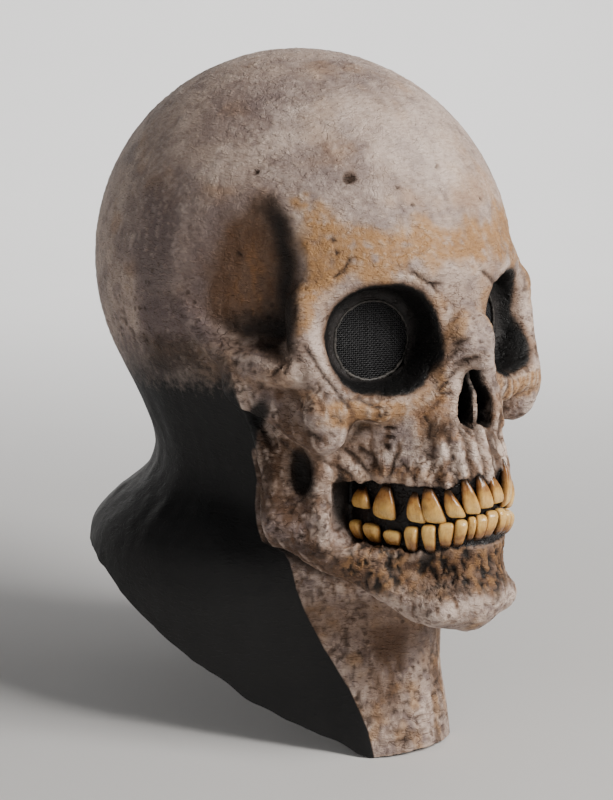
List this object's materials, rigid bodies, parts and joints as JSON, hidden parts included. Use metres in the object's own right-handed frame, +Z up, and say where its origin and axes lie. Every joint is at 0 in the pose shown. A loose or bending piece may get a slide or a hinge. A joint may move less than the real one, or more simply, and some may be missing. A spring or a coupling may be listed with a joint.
{
  "type": "skull mask",
  "caption": "Full head skull mask of painted latex with an open neck, mesh covered eyes, bared teeth and a black hood painted on the back.",
  "frame": {"origin": "the inside of the crown, where the mask rests on a head", "axes": "+Z up out of the crown, the face looks along -Y, +X is the mask's own left side"},
  "size_m": [0.1932, 0.2597, 0.337],
  "materials": {
    "latex_skin": "matte painted latex, pale bone in front and near black behind",
    "eye_mesh": "matte black open weave",
    "tooth": "glossy ochre with brown roots"
  },
  "bodies": {
    "root": {"latex_skin": "latex_skin", "eye_mesh_right": "eye_mesh", "eye_mesh_left": "eye_mesh", "tooth_upper_right_1": "tooth", "tooth_upper_right_2": "tooth", "tooth_upper_right_3": "tooth", "tooth_upper_right_4": "tooth", "tooth_upper_right_5": "tooth", "tooth_upper_right_6": "tooth", "tooth_upper_right_7": "tooth", "tooth_upper_left_1": "tooth", "tooth_upper_left_2": "tooth", "tooth_upper_left_3": "tooth", "tooth_upper_left_4": "tooth", "tooth_upper_left_5": "tooth", "tooth_upper_left_6": "tooth", "tooth_upper_left_7": "tooth", "tooth_upper_left_8": "tooth", "tooth_lower_right_1": "tooth", "tooth_lower_right_2": "tooth", "tooth_lower_right_3": "tooth", "tooth_lower_right_4": "tooth", "tooth_lower_right_5": "tooth", "tooth_lower_right_6": "tooth", "tooth_lower_right_7": "tooth", "tooth_lower_right_8": "tooth", "tooth_lower_right_9": "tooth", "tooth_lower_right_10": "tooth", "tooth_lower_left_1": "tooth", "tooth_lower_left_2": "tooth", "tooth_lower_left_3": "tooth", "tooth_lower_left_4": "tooth", "tooth_lower_left_5": "tooth", "tooth_lower_left_6": "tooth", "tooth_lower_left_7": "tooth", "tooth_lower_left_8": "tooth", "tooth_lower_left_9": "tooth"}
  },
  "joints": []
}
